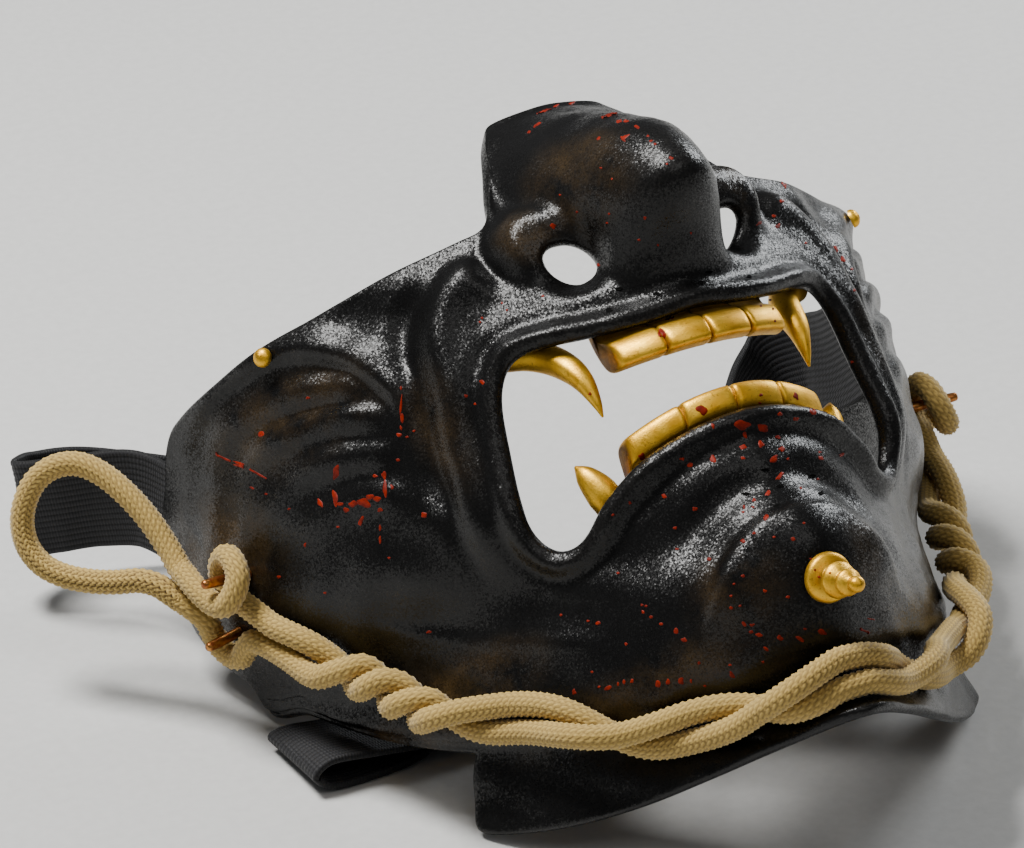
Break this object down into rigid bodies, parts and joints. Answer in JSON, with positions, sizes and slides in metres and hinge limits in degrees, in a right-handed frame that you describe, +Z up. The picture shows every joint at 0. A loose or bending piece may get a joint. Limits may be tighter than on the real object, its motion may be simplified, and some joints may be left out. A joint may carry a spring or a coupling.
{
  "type": "samurai face guard",
  "caption": "Fierce lower-face guard with an open mouth, gold teeth and fangs, a chin peg, a twisted jaw rope hitched to side pins and an elastic head strap.",
  "frame": {"origin": "middle of the footprint of the mask, on the floor it lies on, without its free cords", "axes": "+Z up, +X to the wearer's left, the nose and chin face -Y and up, the hollow for the face opens to +Y and down"},
  "size_m": [0.2326, 0.2167, 0.1477],
  "materials": {
    "black resin": "satin black with a fine speckle and bronze dusting",
    "gold paint": "worn gold paint",
    "bronze pin": "dull bronze",
    "tan rope": "braided cotton cord",
    "black elastic": "ribbed woven elastic"
  },
  "bodies": {
    "root": {"face_plate": "black resin", "upper_teeth": "gold paint", "lower_teeth": "gold paint", "upper_fang_left": "gold paint", "upper_fang_right": "gold paint", "lower_fang_left": "gold paint", "lower_fang_right": "gold paint", "chin_peg": "gold paint", "cheek_stud_left": "gold paint", "cheek_stud_right": "gold paint", "rope_peg_upper_left": "bronze pin", "rope_peg_lower_left": "bronze pin", "rope_peg_upper_right": "bronze pin", "rope_peg_lower_right": "bronze pin", "jaw_rope": "tan rope", "rope_loop_right": "tan rope", "elastic_strap": "black elastic"}
  },
  "joints": []
}
